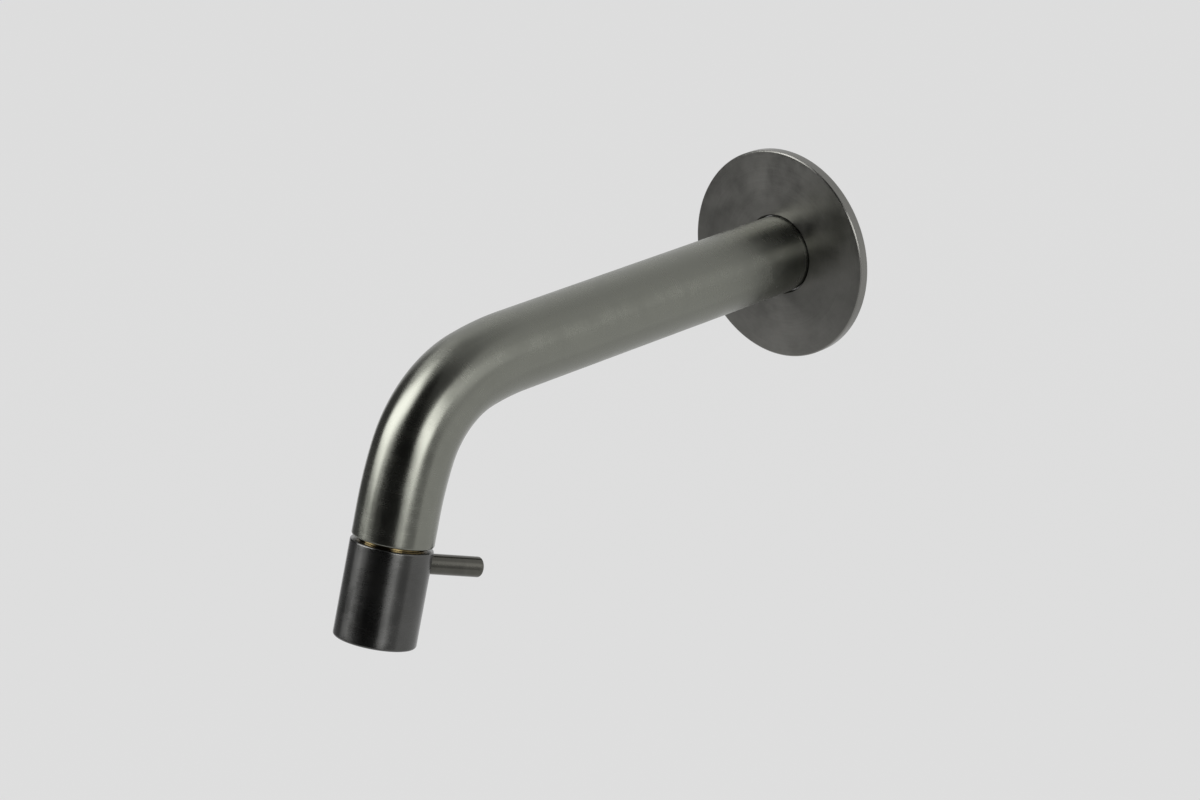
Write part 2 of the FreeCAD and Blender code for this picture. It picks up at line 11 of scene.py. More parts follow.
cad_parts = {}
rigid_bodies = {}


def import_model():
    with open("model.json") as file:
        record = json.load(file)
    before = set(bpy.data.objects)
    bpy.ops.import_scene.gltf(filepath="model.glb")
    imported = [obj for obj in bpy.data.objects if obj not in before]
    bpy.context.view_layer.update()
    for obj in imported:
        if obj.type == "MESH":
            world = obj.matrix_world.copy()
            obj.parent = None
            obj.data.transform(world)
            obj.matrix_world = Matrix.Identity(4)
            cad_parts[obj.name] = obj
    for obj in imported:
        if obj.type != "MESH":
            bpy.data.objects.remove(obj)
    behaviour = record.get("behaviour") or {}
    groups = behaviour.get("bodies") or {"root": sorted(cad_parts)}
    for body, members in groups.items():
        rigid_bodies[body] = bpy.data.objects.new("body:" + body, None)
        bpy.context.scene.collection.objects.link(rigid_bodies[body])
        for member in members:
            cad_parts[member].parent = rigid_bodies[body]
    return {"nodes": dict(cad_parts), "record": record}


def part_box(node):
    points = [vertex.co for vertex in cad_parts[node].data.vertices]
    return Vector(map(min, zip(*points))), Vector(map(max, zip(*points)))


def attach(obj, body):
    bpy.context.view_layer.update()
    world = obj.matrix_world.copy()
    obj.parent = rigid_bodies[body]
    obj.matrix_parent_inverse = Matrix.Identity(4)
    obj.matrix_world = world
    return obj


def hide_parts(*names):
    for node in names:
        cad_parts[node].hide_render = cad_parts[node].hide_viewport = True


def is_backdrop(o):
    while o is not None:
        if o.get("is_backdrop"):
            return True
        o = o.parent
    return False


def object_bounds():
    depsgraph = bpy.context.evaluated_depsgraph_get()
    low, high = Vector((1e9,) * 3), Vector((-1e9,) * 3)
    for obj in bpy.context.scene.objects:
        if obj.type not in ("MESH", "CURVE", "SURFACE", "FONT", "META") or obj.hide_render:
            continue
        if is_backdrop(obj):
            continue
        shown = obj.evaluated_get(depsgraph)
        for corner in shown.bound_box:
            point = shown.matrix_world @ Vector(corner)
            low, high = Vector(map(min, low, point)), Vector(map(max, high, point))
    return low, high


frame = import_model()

bl_info = {
    "name": "Wall spout tap",
    "version": (1, 0, 0),
    "blender": (4, 5, 0),
    "location": "3D View > Sidebar > Tap",
    "description": "Dresses the packed wall spout tap with its finished pieces, its finishes and a studio",
    "category": "Object",
}

CAD_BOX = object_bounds()
MM = 0.001
ROOT_3 = sqrt(3)
QUARTER = pi / 2
MIDDLE = Vector((0, -0.15, -0.04))
X_AXIS = Vector((1, 0, 0))
Z_AXIS = Vector((0, 0, 1))
SHARP_ANGLE = radians(32)
ROUND_STEP = radians(11)
AROUND = 192
FIT = 0.05 * MM
LEVER_SEAT = 0.6 * MM
LEVER_STUD = 2.0 * MM
LOCK_POINT = 0.95 * MM
FINE_MARK = 0.14 * MM
BROAD_MARK = 0.45 * MM
TURN_OF_MARKS = 0.25
NOISE_RANGE = (0.3, 0.7)
CLOUD_RANGE = (0.36, 0.64)
BARE_TONE = 1.2
BARE_ROUGHNESS = 0.75
BOX_DISTANCE = 1.2
BOX_SOFTNESS = 0.22
PANEL_STEPS = 24


def node_width(node):
    """Width of a node of the frame across the tap, in millimetres."""
    low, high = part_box(node)
    return (high.x - low.x) / MM


def share(default, description, kind=bpy.props.FloatProperty, scale=1, **values):
    """Property for a number or a colour, scaled to the unit that it is kept in."""
    return partial(kind, default=default * scale, description=description, **values)


# A length is given in millimetres, an angle in degrees and a colour in linear light.
length = partial(share, scale=MM, min=0.0, unit="LENGTH", precision=5)
turn = partial(share, scale=radians(1), subtype="ANGLE")
colour = partial(share, kind=bpy.props.FloatVectorProperty, subtype="COLOR", size=3, min=0.0, max=1.0)


def group(kind):
    """Property that holds a group of properties."""
    return partial(bpy.props.PointerProperty, type=kind, description=kind.__doc__)


def named(kind):
    """Names each property of a group after its own key."""
    for key, make in kind.__annotations__.items():
        kind.__annotations__[key] = make(name=key.replace("_", " ").capitalize())
    return kind


@named
class TapSpoutSizes(PropertyGroup):
    """Sizes of the tube and of its centre line"""

    tube_diameter: length(node_width("spout_tube"), "Outside diameter of the tube")
    tube_wall: length(1.5, "Thickness of the tube's wall")
    straight_run: length(113.6, "From the wall to where the bend starts")
    bend_angle: turn(75.0, "How far the tube turns down in all")
    bend_radius: length(30.0, "Radius of the middle of the bend")
    lead_angle: turn(10.0, "How far the bend's easy start and end turn")
    lead_radius: length(90.0, "Radius of the bend's easy start and end")
    drop: length(8.0, "Straight length after the bend")
    end_round: length(0.6, "Rounding of the tube's free end")
    lock_position: length(5.0, "From the wall to the lock screw")
    lock_diameter: length(5.0, "Diameter of the lock screw")


@named
class TapWallSizes(PropertyGroup):
    """Sizes of the rosette and of the fixing behind it"""

    rosette_diameter: length(node_width("wall_rosette"), "Diameter of the rosette")
    rosette_thickness: length(3.0, "Thickness of the rosette")
    rosette_bevel: length(0.3, "Bevel on the rosette's front edge")
    rosette_gap: length(0.35, "Gap between the rosette and the tube")
    bore_bevel: length(0.2, "Bevel at the front of the rosette's bore")
    ring_section: length(1.3, "Thickness of the sealing rings")
    gasket_rim: length(3.0, "From the rosette's edge to its gasket")
    gasket_width: length(5.0, "Width of the gasket's groove")
    gasket_thickness: length(1.0, "Thickness of the gasket")
    thread_diameter: length(20.955, "Pipe thread over its crests")
    thread_length: length(14.0, "Length of the pipe thread")
    thread_pitch: length(1.814, "Distance from crest to crest")
    thread_depth: length(1.162, "Depth of the pipe thread")
    thread_chamfer: length(1.0, "Bevel at the start of the pipe thread")
    collar: length(1.2, "Thickness of the collar at the tube's end")
    bore: length(9.8, "Waterway through the fixing")
    key_flats: length(10.0, "Width of the key socket across its flats")
    key_depth: length(8.0, "Depth of the key socket")
    sleeve_wall: length(1.45, "Wall of the brass sleeve in the tube")


@named
class TapEndPieceSizes(PropertyGroup):
    """Sizes of the turning end piece and its lever"""

    gap: length(0.9, "Gap between the tube and the end piece")
    step: length(0.1, "How far it is proud of the tube")
    wall: length(2.2, "Its wall around the valve")
    top_round: length(0.5, "Rounding of its top edge")
    end_round: length(0.7, "Rounding of its lower edge")
    web_top: length(13.37, "From the tube's end to the inner web")
    web: length(2.5, "Thickness of the inner web")
    aerator_ledge: length(18.92, "From the tube's end to the ledge above the aerator")
    aerator_wall: length(1.9, "Its wall around the aerator")
    overall_end: length(27.22, "From the tube's end to its lower edge")
    drive_diameter: length(9.3, "Diameter of the spindle's hole in the web")
    drive_flats: length(7.9, "Width of that hole across its flats")
    lever_diameter: length(5.5, "Diameter of the lever")
    lever_reach: length(27.3, "From its axis to the lever's tip")
    lever_height: length(4.8, "From its top edge to the lever's axis")
    lever_angle: turn(-70.5, "Where the lever points, about its axis")
    lever_end_round: length(0.85, "Rounding of the lever's tip")


@named
class TapAeratorSizes(PropertyGroup):
    """Sizes of the aerator's ring and screen"""

    shell: length(1.25, "Wall of the aerator's threaded ring")
    height: length(6.4, "Height of the threaded ring")
    lip: length(1.2, "Thickness and width of the ring's inner lip")
    recess: length(0.6, "From the end piece's lower edge to the ring")
    slot_width: length(1.6, "Width of the ring's key slots")
    slot_depth: length(0.7, "Depth of the ring's key slots")
    screen_thickness: length(0.4, "Thickness of the outlet screen")
    cell_pitch: length(1.7, "Distance between the screen's cells")
    cell_flats: length(1.4, "Width of one cell across its flats")


@named
class TapFinishes(PropertyGroup):
    """Colours of the finishes, in linear light"""

    tube: colour((0.213, 0.217, 0.190), "Coating on the tube")
    rosette: colour((0.184, 0.182, 0.170), "Coating on the rosette")
    end_piece: colour((0.094, 0.094, 0.091), "Darker coating on the end piece")
    lever: colour((0.106, 0.104, 0.092), "Darker coating on the lever")
    aerator: colour((0.095, 0.095, 0.090), "Dark coating on the aerator's ring")
    brass: colour((0.68, 0.52, 0.25), "Turned brass")
    steel: colour((0.55, 0.55, 0.54), "Turned stainless steel")
    ceramic: colour((0.88, 0.87, 0.83), "Lapped ceramic")
    rubber: colour((0.030, 0.030, 0.030), "Sealing rubber")
    foam: colour((0.060, 0.060, 0.060), "Closed-cell foam")
    white_plastic: colour((0.85, 0.85, 0.82), "Slippery white plastic")
    grey_plastic: colour((0.30, 0.30, 0.30), "Moulded grey plastic")


@named
class TapStudio(PropertyGroup):
    """Camera and light of the studio"""

    azimuth: turn(41.45, "Where the camera stands, from straight in front")
    elevation: turn(20.75, "How high the camera stands")
    roll: turn(0.875, "How far the camera leans")
    distance: length(1096.07, "From the camera to what it looks at")
    look_y: share(-0.07810, "Place along Y that the camera looks at, in metres")
    look_z: share(-0.02375, "Height that the camera looks at, in metres")
    lens: share(120.634, "Focal length in millimetres on a 36 mm wide picture")
    background: share(0.730, "Brightness of the background, where 1 is white")
    fill: share(0.45, "Brightness of the light from all round")
    floor_height: share(-0.9, "Height of the floor below the tap, in metres")
    floor_colour: share(0.80, "Colour of the floor")
    floor_evenness: share(0.80, "Share of the floor's look that the lamps don't alter")
    floor_tone: share(0.81, "Brightness of that share")
    right_box: share(5.2, "Brightness of the soft box on the right")
    left_box: share(4.8, "Brightness of the soft box on the left")
    right_lamp: share(4.5, "Power of the lamp in the right box, in watts")
    left_lamp: share(6.5, "Power of the lamp in the left box, in watts")


@named
class TapSettings(PropertyGroup):
    """Everything about the tap that a user may change"""

    spout: group(TapSpoutSizes)
    wall: group(TapWallSizes)
    knob: group(TapEndPieceSizes)
    aerator: group(TapAeratorSizes)
    finish: group(TapFinishes)
    studio: group(TapStudio)


def tap():
    """Everything that is set for the tap in this scene."""
    return bpy.context.scene.tap


def heading(angle):
    """Direction of flow once the tube has turned down by an angle."""
    return Vector((0, -cos(angle), -sin(angle)))


def inward(angle):
    """Direction from the centre line to the centre of the bend there."""
    return Vector((0, sin(angle), -cos(angle)))


def axes_at(place, x, y, z):
    """Matrix with these axes at a place."""
    return Matrix([(x[i], y[i], z[i], place[i]) for i in range(3)] + [(0, 0, 0, 1)])


def flow_frame(origin, flow):
    """Matrix with local Z along the flow and local X kept."""
    return axes_at(origin, X_AXIS, flow.cross(X_AXIS), flow)


def centre_line(sizes, step):
    """Points of the tube's centre line, from the wall to its free end."""
    lead = (sizes.lead_radius, sizes.lead_angle)
    count = ceil(sizes.straight_run / step)
    points = [heading(0) * (sizes.straight_run * i / count) for i in range(count + 1)]
    so_far = 0.0
    for radius, angle in (lead, (sizes.bend_radius, sizes.bend_angle - 2 * sizes.lead_angle), lead):
        centre = points[-1] + inward(so_far) * radius
        count = ceil(radius * angle / step)
        points += [centre - inward(so_far + angle * i / count) * radius for i in range(1, count + 1)]
        so_far += angle
    points.append(points[-1] + heading(so_far) * sizes.drop)
    return points


def outlet_frame():
    """Frame of the tube's free end: its Z is the way the water goes."""
    sizes = tap().spout
    return flow_frame(centre_line(sizes, sizes.tube_diameter)[-1], heading(sizes.bend_angle))


def wall_frame():
    """Frame of the wall fixing: its Z points out of the wall."""
    return flow_frame(Vector((0, 0, 0)), heading(0))


def lever_frame():
    """Frame of the lever: its Z runs from the end piece's axis to the lever's tip."""
    sizes = tap().knob
    across = Matrix.Rotation(sizes.lever_angle, 4, "Z") @ Matrix.Rotation(QUARTER, 4, "Y")
    return outlet_frame() @ Matrix.Translation((0, 0, sizes.gap + sizes.lever_height)) @ across


def lock_frame():
    """Frame of the lock screw, in that of the wall: its Z points down."""
    return Matrix.Translation((0, 0, tap().spout.lock_position)) @ Matrix.Rotation(QUARTER, 4, "X")


def rounded(corners):
    """Closed outline in the (radius, z) plane. A corner with a third number is rounded by it."""
    outline = []
    for index, corner in enumerate(corners):
        here = Vector(corner[:2])
        if len(corner) < 3:
            outline.append(here)
            continue
        before = (Vector(corners[index - 1][:2]) - here).normalized()
        after = (Vector(corners[(index + 1) % len(corners)][:2]) - here).normalized()
        half = before.angle(after) / 2
        setback = corner[2] / tan(half)
        centre = here + (before + after).normalized() * (corner[2] / sin(half))
        first = here + before * setback - centre
        swing = first.angle_signed(here + after * setback - centre)
        steps = max(2, ceil(abs(swing) / ROUND_STEP))
        outline += [centre + Matrix.Rotation(-swing * step / steps, 2) @ first for step in range(steps + 1)]
    return outline


def divided(outline, step):
    """Outline whose edges are divided into stretches no longer than a step."""
    points = []
    for index, here in enumerate(outline):
        after = outline[(index + 1) % len(outline)]
        count = max(1, ceil((after - here).length / step))
        points += [here.lerp(after, i / count) for i in range(count)]
    return points


def new_object(name, data):
    """Object of some data, linked into the scene."""
    piece = bpy.data.objects.new(name, data)
    bpy.context.scene.collection.objects.link(piece)
    return piece


def shape_object(name, shape):
    """Object of a shape, which it frees."""
    mesh = bpy.data.meshes.new(name)
    shape.to_mesh(mesh)
    shape.free()
    return new_object(name, mesh)


def turned(name, corners, around=AROUND, step=inf):
    """Closed piece for a node: an outline turned about local Z. A point on the axis becomes a pole."""
    shape = bmesh.new()
    rings = []
    for radius, height in divided(rounded(corners), step):
        if radius < 1e-9:
            rings.append([shape.verts.new((0, 0, height))] * around)
            continue
        angles = (2 * pi * i / around for i in range(around))
        rings.append([shape.verts.new((radius * cos(a), radius * sin(a), height)) for a in angles])
    for index, ring in enumerate(rings):
        after = rings[(index + 1) % len(rings)]
        for i in range(around):
            j = (i + 1) % around
            face = list(dict.fromkeys((ring[i], ring[j], after[j], after[i])))
            if len(face) > 2:
                shape.faces.new(face)
    bmesh.ops.recalc_face_normals(shape, faces=shape.faces)
    return shape_object(name + "_piece", shape)


def prism(name, sides, radius, low, high, flat=inf):
    """Prism along local Z with a corner on local X, cut off by two flats at a distance from the axis."""
    shape = bmesh.new()
    turns = [2 * pi * i / sides for i in range(sides)]
    ring = [(radius * cos(a), max(-flat, min(flat, radius * sin(a)))) for a in turns]
    bottom, top = ([shape.verts.new((*spot, height)) for spot in ring] for height in (low, high))
    shape.faces.new(reversed(bottom))
    shape.faces.new(top)
    for i in range(sides):
        j = (i + 1) % sides
        shape.faces.new((bottom[i], bottom[j], top[j], top[i]))
    return shape_object(name, shape)


def settle(piece):
    """Turns a piece's modifiers into plain mesh and removes them."""
    bpy.context.view_layer.update()
    depsgraph = bpy.context.evaluated_depsgraph_get()
    evaluated = piece.evaluated_get(depsgraph)
    mesh = bpy.data.meshes.new_from_object(evaluated, preserve_all_data_layers=True, depsgraph=depsgraph)
    piece.modifiers.clear()
    old = piece.data
    piece.data = mesh
    mesh.name = piece.name
    bpy.data.meshes.remove(old)


def cut(piece, *cutters):
    """Cuts other closed pieces out of a piece and removes them."""
    for cutter in cutters:
        modifier = piece.modifiers.new(cutter.name, "BOOLEAN")
        modifier.operation = "DIFFERENCE"
        modifier.solver = "EXACT"
        modifier.object = cutter
    settle(piece)
    for cutter in cutters:
        bpy.data.batch_remove((cutter, cutter.data))


def mark_turning(mesh, place):
    """Keeps each point's place in the turned piece's own frame, and the way its marks run there."""
    points = np.empty(len(mesh.vertices) * 3, np.float32)
    mesh.vertices.foreach_get("co", points)
    points = points.reshape(-1, 3)
    way = np.stack([-points[:, 1], points[:, 0], np.zeros(len(points))], 1)
    way /= np.maximum(np.linalg.norm(way, axis=1), 1e-9)[:, None]
    for name, values in (("turned_place", points), ("mark_way", way @ np.array(place.to_3x3()).T)):
        attribute = mesh.attributes.new(name, "FLOAT_VECTOR", "POINT")
        attribute.data.foreach_set("vector", np.asarray(values, np.float32).ravel())


def finish_piece(piece, place, body, slot, finish=None):
    """Sets a piece in its place, smooth with sharp edges, and hands it over for the node it is named after.

    Its finish is its slot's unless another one is named.
    """
    mesh = piece.data
    if "turned_place" not in mesh.attributes:
        mark_turning(mesh, place)
    mesh.transform(place)
    mesh.shade_smooth()
    mesh.set_sharp_from_angle(angle=SHARP_ANGLE)
    mesh.materials.clear()
    mesh.materials.append(finish_named(finish or slot))
    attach(piece, body)
    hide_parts(piece.name.removesuffix("_piece"))


class Nodes:
    """Short way to add linked nodes to a tree."""

    def __init__(self, tree):
        self.tree = tree

    def feed(self, socket, value):
        """Links a socket to another one, or sets its value."""
        if isinstance(value, bpy.types.NodeSocket):
            self.tree.links.new(value, socket)
        else:
            socket.default_value = value

    def add(self, kind, inputs=None, family="ShaderNode", **values):
        """Adds a node with its values, feeds inputs by name or number, and returns its outputs."""
        node = self.tree.nodes.new(family + kind)
        for name, value in values.items():
            setattr(node, name, value)
        for name, value in (inputs or {}).items():
            self.feed(node.inputs[name], value)
        return node.outputs

    def math(self, operation, *values):
        return self.add("Math", dict(enumerate(values)), operation=operation)[0]

    def times(self, value, *factors):
        for factor in factors:
            value = self.math("MULTIPLY", value, factor)
        return value

    def vector(self, operation, *values):
        sockets = ("Vector", "Scale") if operation == "SCALE" else range(len(values))
        outputs = self.add("VectorMath", dict(zip(sockets, values)), operation=operation)
        return outputs["Value" if operation in ("LENGTH", "DOT_PRODUCT") else "Vector"]

    def combine(self, x, y=0.0, z=0.0):
        return self.add("CombineXYZ", {0: x, 1: y, 2: z})[0]

    def separate(self, vector):
        return self.add("SeparateXYZ", {0: vector})

    def map_range(self, value, low, high, to_low=0.0, to_high=1.0, **values):
        return self.add("MapRange", dict(enumerate((value, low, high, to_low, to_high))), **values)[0]

    def attribute(self, name):
        """A vector that the piece's own mesh keeps."""
        return self.add("Attribute", attribute_name=name)["Vector"]

    def end_mixed(self, amount, first, second, output="Material Output"):
        """Ends the tree in a mix of two shaders."""
        mix = self.add("MixShader", {0: amount, 1: first, 2: second})[0]
        self.feed(self.tree.nodes[output].inputs["Surface"], mix)


class GeometryTree(Nodes):
    """Geometry tree with named inputs of one kind, which ends in real mesh with a material."""

    def __init__(self, name, kind, *labels):
        super().__init__(bpy.data.node_groups.new(name, "GeometryNodeTree"))
        sockets = [("Geometry", "Geometry"), *((label, kind) for label in labels), ("Material", "Material")]
        for label, sort in sockets:
            self.tree.interface.new_socket(label, in_out="INPUT", socket_type="NodeSocket" + sort)
        self.tree.interface.new_socket("Geometry", in_out="OUTPUT", socket_type="NodeSocketGeometry")
        self.inputs = self.add("GroupInput", family="Node")

    def make(self, kind, inputs=None, **values):
        """Adds a geometry node and returns its outputs."""
        return self.add(kind, inputs, "GeometryNode", **values)

    def keep(self, geometry, name, value):
        """Keeps a vector on each point, under a name."""
        inputs = {"Geometry": geometry, "Name": name, "Value": value}
        return self.make("StoreNamedAttribute", inputs, data_type="FLOAT_VECTOR", domain="POINT")[0]

    def move(self, geometry, position, selection=True):
        """Moves the chosen points to a position."""
        return self.make("SetPosition", {"Geometry": geometry, "Selection": selection, "Position": position})[0]

    def end(self, geometry):
        """Realizes the result, sets its material and sends it out."""
        real = self.make("RealizeInstances", {"Geometry": geometry})[0]
        coat = self.make("SetMaterial", {"Geometry": real, "Material": self.inputs["Material"]})[0]
        self.add("GroupOutput", {0: coat}, "Node")

    def run(self, piece, values):
        """Runs the tree on a piece, leaves plain mesh there, and removes the tree."""
        modifier = piece.modifiers.new(self.tree.name, "NODES")
        modifier.node_group = self.tree
        for item in self.tree.interface.items_tree:
            if item.in_out == "INPUT" and item.name in values:
                modifier[item.identifier] = values[item.name]
        settle(piece)
        bpy.data.node_groups.remove(self.tree)


def spout_tree():
    """Bends a straight tube along its centre line, and keeps where each point was."""
    tree = GeometryTree("spout along its centre line", "Object", "Centre Line")
    place = tree.make("InputPosition")[0]
    x, y, z = tree.separate(place)
    line = tree.make("ObjectInfo", {"Object": tree.inputs["Centre Line"]}, transform_space="ORIGINAL")
    spot = tree.make("SampleCurve", {"Curves": line["Geometry"], "Length": z}, mode="LENGTH", use_all_curves=False)
    side = tree.vector("CROSS_PRODUCT", spot["Tangent"], tuple(X_AXIS))
    offset = tree.vector("ADD", tree.combine(x), tree.vector("SCALE", side, y))
    marks = tree.vector("ADD", tree.combine(tree.times(y, -1.0)), tree.vector("SCALE", side, x))
    kept = tree.keep(tree.inputs["Geometry"], "turned_place", place)
    kept = tree.keep(kept, "mark_way", tree.vector("NORMALIZE", marks))
    tree.end(tree.move(kept, tree.vector("ADD", spot["Position"], offset)))
    return tree


def thread_tree():
    """Cuts a rounded screw thread into the outside of a turned piece, up to a height."""
    half_crest = 0.14
    tree = GeometryTree("pipe thread", "Float", "Pitch", "Depth", "Crest Radius", "Run Out", "End")
    given = tree.inputs
    x, y, z = tree.separate(tree.make("InputPosition")[0])
    spoke = tree.combine(x, y)
    radius = tree.vector("LENGTH", spoke)
    turns = tree.math("DIVIDE", tree.math("ARCTAN2", y, x), 2 * pi)
    phase = tree.math("FRACT", tree.math("SUBTRACT", tree.math("DIVIDE", z, given["Pitch"]), turns))
    wave = tree.math("ABSOLUTE", tree.math("SUBTRACT", tree.times(phase, 2.0), 1.0))
    groove = tree.map_range(wave, half_crest, 1.0 - half_crest)
    fade = tree.map_range(z, given["Run Out"], given["End"], 1.0, 0.0)
    depth = tree.times(groove, fade, given["Depth"])
    new_radius = tree.math("MINIMUM", radius, tree.math("SUBTRACT", given["Crest Radius"], depth))
    flat = tree.vector("SCALE", spoke, tree.math("DIVIDE", new_radius, radius))
    outside = tree.math("GREATER_THAN", radius, tree.math("SUBTRACT", given["Crest Radius"], given["Depth"]))
    in_reach = tree.times(outside, tree.math("LESS_THAN", z, given["End"]))
    tree.end(tree.move(given["Geometry"], tree.vector("ADD", flat, tree.combine(0.0, 0.0, z)), in_reach))
    return tree


def screen_tree(reach):
    """Round plate with a hexagonal pattern of six-sided cells cut through it."""
    tree = GeometryTree("outlet screen", "Float", "Plate Radius", "Open Radius", "Pitch", "Flats", "Thickness")
    given = tree.inputs
    across = 2 * reach + 1
    grid = tree.make("MeshGrid", {"Vertices X": across, "Vertices Y": across})[0]
    index = tree.make("InputIndex")[0]
    row = tree.math("SUBTRACT", tree.math("FLOOR", tree.math("DIVIDE", index, across)), reach)
    column = tree.math("SUBTRACT", tree.math("FLOORED_MODULO", index, across), reach)
    shift = tree.times(tree.math("FLOORED_MODULO", row, 2.0), 0.5)
    x = tree.times(row, given["Pitch"], ROOT_3 / 2)
    y = tree.times(tree.math("ADD", column, shift), given["Pitch"])
    lattice = tree.move(grid, tree.combine(x, y))
    far = tree.math("GREATER_THAN", tree.vector("LENGTH", tree.make("InputPosition")[0]), given["Open Radius"])
    centres = tree.make("DeleteGeometry", {"Geometry": lattice, "Selection": far}, domain="POINT")[0]
    corner = tree.math("DIVIDE", given["Flats"], ROOT_3)
    through = tree.times(given["Thickness"], 3.0)
    cell = tree.make("MeshCylinder", {"Vertices": 6, "Radius": corner, "Depth": through})[0]
    cells = tree.make("InstanceOnPoints", {"Points": centres, "Instance": cell})[0]
    sizes = {"Vertices": 96, "Radius": given["Plate Radius"], "Depth": given["Thickness"]}
    plate = tree.make("MeshCylinder", sizes)[0]
    holes = tree.make("RealizeInstances", {"Geometry": cells})[0]
    tree.end(tree.make("MeshBoolean", {"Mesh 1": plate, "Mesh 2": holes}, operation="DIFFERENCE")[0])
    return tree


class Finish(Nodes):
    """Shader tree of one finish, around one Principled shader."""

    def __init__(self, name, roughness, metallic=0.0):
        self.material = bpy.data.materials.new(name)
        self.material.use_nodes = True
        super().__init__(self.material.node_tree)
        self.set(metallic=metallic, roughness=roughness)

    def set(self, **values):
        """Feeds inputs of the Principled shader."""
        for name, value in values.items():
            self.feed(self.tree.nodes["Principled BSDF"].inputs[name.replace("_", " ").title()], value)

    def place(self):
        """Place on the piece, in its own coordinates."""
        return self.add("TexCoord")["Object"]

    def noise(self, vector, scale, detail=2.0, roughness=0.5):
        inputs = {"Vector": vector, "Scale": scale, "Detail": detail, "Roughness": roughness}
        return self.add("TexNoise", inputs)["Fac"]

    def blend(self, amount, first, second):
        """Colour between two, by an amount from 0 to 1."""
        return self.add("Mix", {"Factor": amount, 6: first, 7: second}, data_type="RGBA")[2]

    def bump(self, height, distance):
        return self.add("Bump", {"Strength": 1.0, "Distance": distance, "Height": height})["Normal"]

    def turned_about(self, frame_of_marks):
        """Place in a turned piece's own frame and the way its marks run, from its object coordinates."""
        *axes, centre = (tuple(column.to_3d()) for column in frame_of_marks.col)
        from_axis = self.vector("SUBTRACT", self.place(), centre)
        local = self.combine(*(self.vector("DOT_PRODUCT", from_axis, axis) for axis in axes))
        return local, self.vector("NORMALIZE", self.vector("CROSS_PRODUCT", axes[2], from_axis))

    def radius(self, place):
        x, y, z = self.separate(place)
        return self.vector("LENGTH", self.combine(x, y))

    def worn(self, place, edges):
        """Is 1 on worn edges. Each is a radius or height, and how far from it in mm wear starts and is full."""
        values = {"radius": self.radius(place), "height": self.separate(place)[2]}
        amount = 0.0
        for kind, edge, start, full in edges:
            amount = self.math("MAXIMUM", self.map_range(values[kind], edge + start * MM, edge + full * MM), amount)
        return amount

    def turning_marks(self, place, width, run):
        """Noise that changes fast across the marks of turning and slowly along them, in metres."""
        x, y, z = self.separate(place)
        across = self.times(self.math("ADD", self.radius(place), z), 1 / width)
        return self.noise(self.combine(self.times(x, 1 / run), self.times(y, 1 / run), across), 1.0)

    def mixed(self, first, second):
        """Three fifths of one value and two fifths of another."""
        return self.math("ADD", self.times(first, 0.6), self.times(second, 0.4))


def tone(base, factor):
    """A colour made lighter or darker, with an alpha of 1."""
    return (*(min(1.0, channel * factor) for channel in base[:3]), 1.0)


def brushed(name, base, roughness, spread, mark_depth, mark_run, contrast=0.18, edges=(), frame_of_marks=None):
    """Brushed metal: fine marks run round the piece and stretch its highlights. Depth and run are in mm.

    The marks follow what the piece's own mesh keeps, or run about the Z of a given frame.
    """
    finish = Finish(name, roughness, metallic=1.0)
    if frame_of_marks:
        place, way = finish.turned_about(frame_of_marks)
    else:
        place, way = finish.attribute("turned_place"), finish.attribute("mark_way")
    fine = finish.turning_marks(place, FINE_MARK, mark_run * MM)
    broad = finish.turning_marks(place, BROAD_MARK, 3 * mark_run * MM)
    cloud = finish.map_range(finish.noise(place, 130.0, 4.0, 0.6), *CLOUD_RANGE)
    marks = finish.mixed(fine, broad)
    wear = finish.mixed(marks, cloud)
    bare = finish.times(finish.worn(place, edges), finish.map_range(marks, 0.35, 0.6, 0.5, 1.0))
    coat = finish.blend(wear, tone(base, 1.0 - contrast), tone(base, 1.0 + contrast))
    rough = finish.map_range(wear, *NOISE_RANGE, roughness * 0.88, roughness * 1.12)
    tangent = finish.add("VectorTransform", {0: way}, vector_type="VECTOR", convert_from="OBJECT", convert_to="WORLD")
    finish.set(
        base_color=finish.blend(bare, coat, tone(base, BARE_TONE)),
        roughness=finish.times(rough, finish.map_range(bare, 0.0, 1.0, 1.0, BARE_ROUGHNESS)),
        normal=finish.bump(marks, mark_depth * MM),
        anisotropic=spread,
        anisotropic_rotation=TURN_OF_MARKS,
        tangent=tangent[0],
    )
    return finish.material


def moulded(name, base, roughness, size, depth, tones=(0.9, 1.08), swing=(0.85, 1.15), detail=3.0, cloud=(120.0,),
            metallic=0.0):
    """Rubber, foam, plastic, ceramic or turned metal, clouded, with a fine grain in millimetres."""
    finish = Finish(name, roughness, metallic)
    place = finish.place()
    grain = finish.noise(place, 1 / (size * MM), detail)
    finish.set(
        base_color=finish.blend(finish.noise(place, *cloud), *(tone(base, factor) for factor in tones)),
        roughness=finish.map_range(grain, *NOISE_RANGE, *(min(1.0, roughness * factor) for factor in swing)),
        normal=finish.bump(grain, depth * MM),
    )
    return finish.material


bare_metal = partial(moulded, swing=(0.8, 1.25), detail=2.0, cloud=(240.0, 4.0), metallic=1.0)


